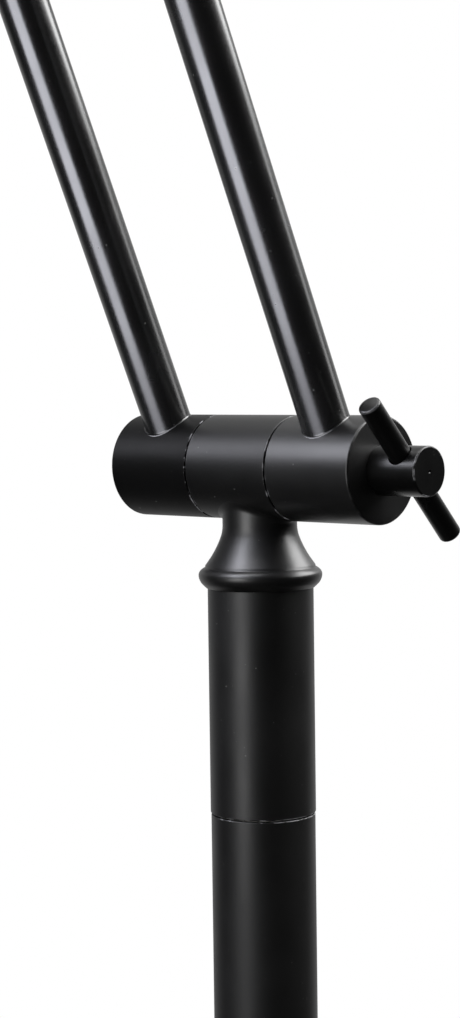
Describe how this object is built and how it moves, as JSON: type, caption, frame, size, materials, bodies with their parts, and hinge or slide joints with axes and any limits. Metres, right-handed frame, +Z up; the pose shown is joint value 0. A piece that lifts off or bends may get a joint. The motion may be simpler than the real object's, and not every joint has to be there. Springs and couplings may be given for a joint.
{
  "type": "pharmacy floor lamp",
  "caption": "Black floor lamp with a weighted round base, swivelling pole, twin-rod arm clamped by T-handle barrel joints, and a trough-shaped reading shade.",
  "frame": {"origin": "centre of the base's underside, on the floor", "axes": "+Z up along the pole, +X along both barrel axes towards the T-handles, the arm leans and the shade reaches towards -Y"},
  "size_m": [0.27, 0.6495, 1.4392],
  "materials": {
    "black_satin": "satin black powder coat",
    "black_plastic": "black phenolic, slightly glossy",
    "cast_weight": "rough cast",
    "zinc_steel": "zinc plated",
    "nylon": "natural nylon",
    "pad_felt": "pressed felt",
    "brass": "bright",
    "opal_glass": "frosted"
  },
  "bodies": {
    "base": {"floor_pad": "pad_felt", "base_weight": "cast_weight", "base_cover": "black_satin", "cord_bushing": "black_plastic", "base_washer": "zinc_steel", "base_nut": "zinc_steel", "base_nipple": "zinc_steel", "pole_collar": "black_satin", "pole_foot_plug": "zinc_steel", "pole_tube": "black_satin", "swivel_spigot": "zinc_steel", "swivel_clip": "zinc_steel"},
    "column_head": {"swivel_sleeve": "black_satin", "swivel_bushing": "nylon", "elbow_knuckle": "black_satin", "elbow_washer_left": "nylon", "elbow_washer_right": "nylon"},
    "arm": {"elbow_sleeve_left": "black_satin", "elbow_sleeve_right": "black_satin", "rod_left": "black_satin", "rod_right": "black_satin", "upper_sleeve_left": "black_satin", "upper_sleeve_right": "black_satin"},
    "elbow_handle": {"elbow_clamp_screw": "black_satin", "elbow_tommy_bar": "black_satin"},
    "upper_handle": {"upper_clamp_screw": "black_satin", "upper_tommy_bar": "black_satin"},
    "head": {"upper_knuckle": "black_satin", "upper_washer_left": "nylon", "upper_washer_right": "nylon", "head_stem": "black_satin", "head_spigot": "zinc_steel", "head_clip": "zinc_steel"},
    "lamp_head": {"shade": "black_satin", "switch_cap": "black_satin", "rotary_switch": "black_plastic", "lamp_holder": "black_plastic", "shade_ring": "black_plastic", "centre_contact": "brass", "bulb_cap": "zinc_steel", "bulb_glass": "opal_glass"},
    "switch": {"switch_knob": "black_plastic"}
  },
  "joints": [
    {"name": "column_swivel", "type": "hinge", "parent": "base", "child": "column_head", "pos_m": [0, 0, 0.9159], "axis": [0, 0, 1], "range_deg": [-165, 165]},
    {"name": "arm_swing", "type": "hinge", "parent": "column_head", "child": "arm", "pos_m": [0, 0, 1], "axis": [1, 0, 0], "range_deg": [-45, 85]},
    {"name": "elbow_handle_turn", "type": "hinge", "parent": "arm", "child": "elbow_handle", "pos_m": [0, 0, 1], "axis": [1, 0, 0], "range_deg": [-180, 180]},
    {"name": "head_tilt", "type": "hinge", "parent": "arm", "child": "head", "pos_m": [0, -0.18947, 1.40817], "axis": [1, 0, 0], "range_deg": [-80, 60]},
    {"name": "upper_handle_turn", "type": "hinge", "parent": "arm", "child": "upper_handle", "pos_m": [0, -0.18947, 1.40817], "axis": [1, 0, 0], "range_deg": [-180, 180]},
    {"name": "shade_swivel", "type": "hinge", "parent": "head", "child": "lamp_head", "pos_m": [0, -0.26447, 1.40817], "axis": [0, -1, 0], "range_deg": [-100, 100]},
    {"name": "switch_turn", "type": "hinge", "parent": "lamp_head", "child": "switch", "pos_m": [0, -0.28247, 1.40817], "axis": [1, 0, 0], "continuous": true}
  ]
}
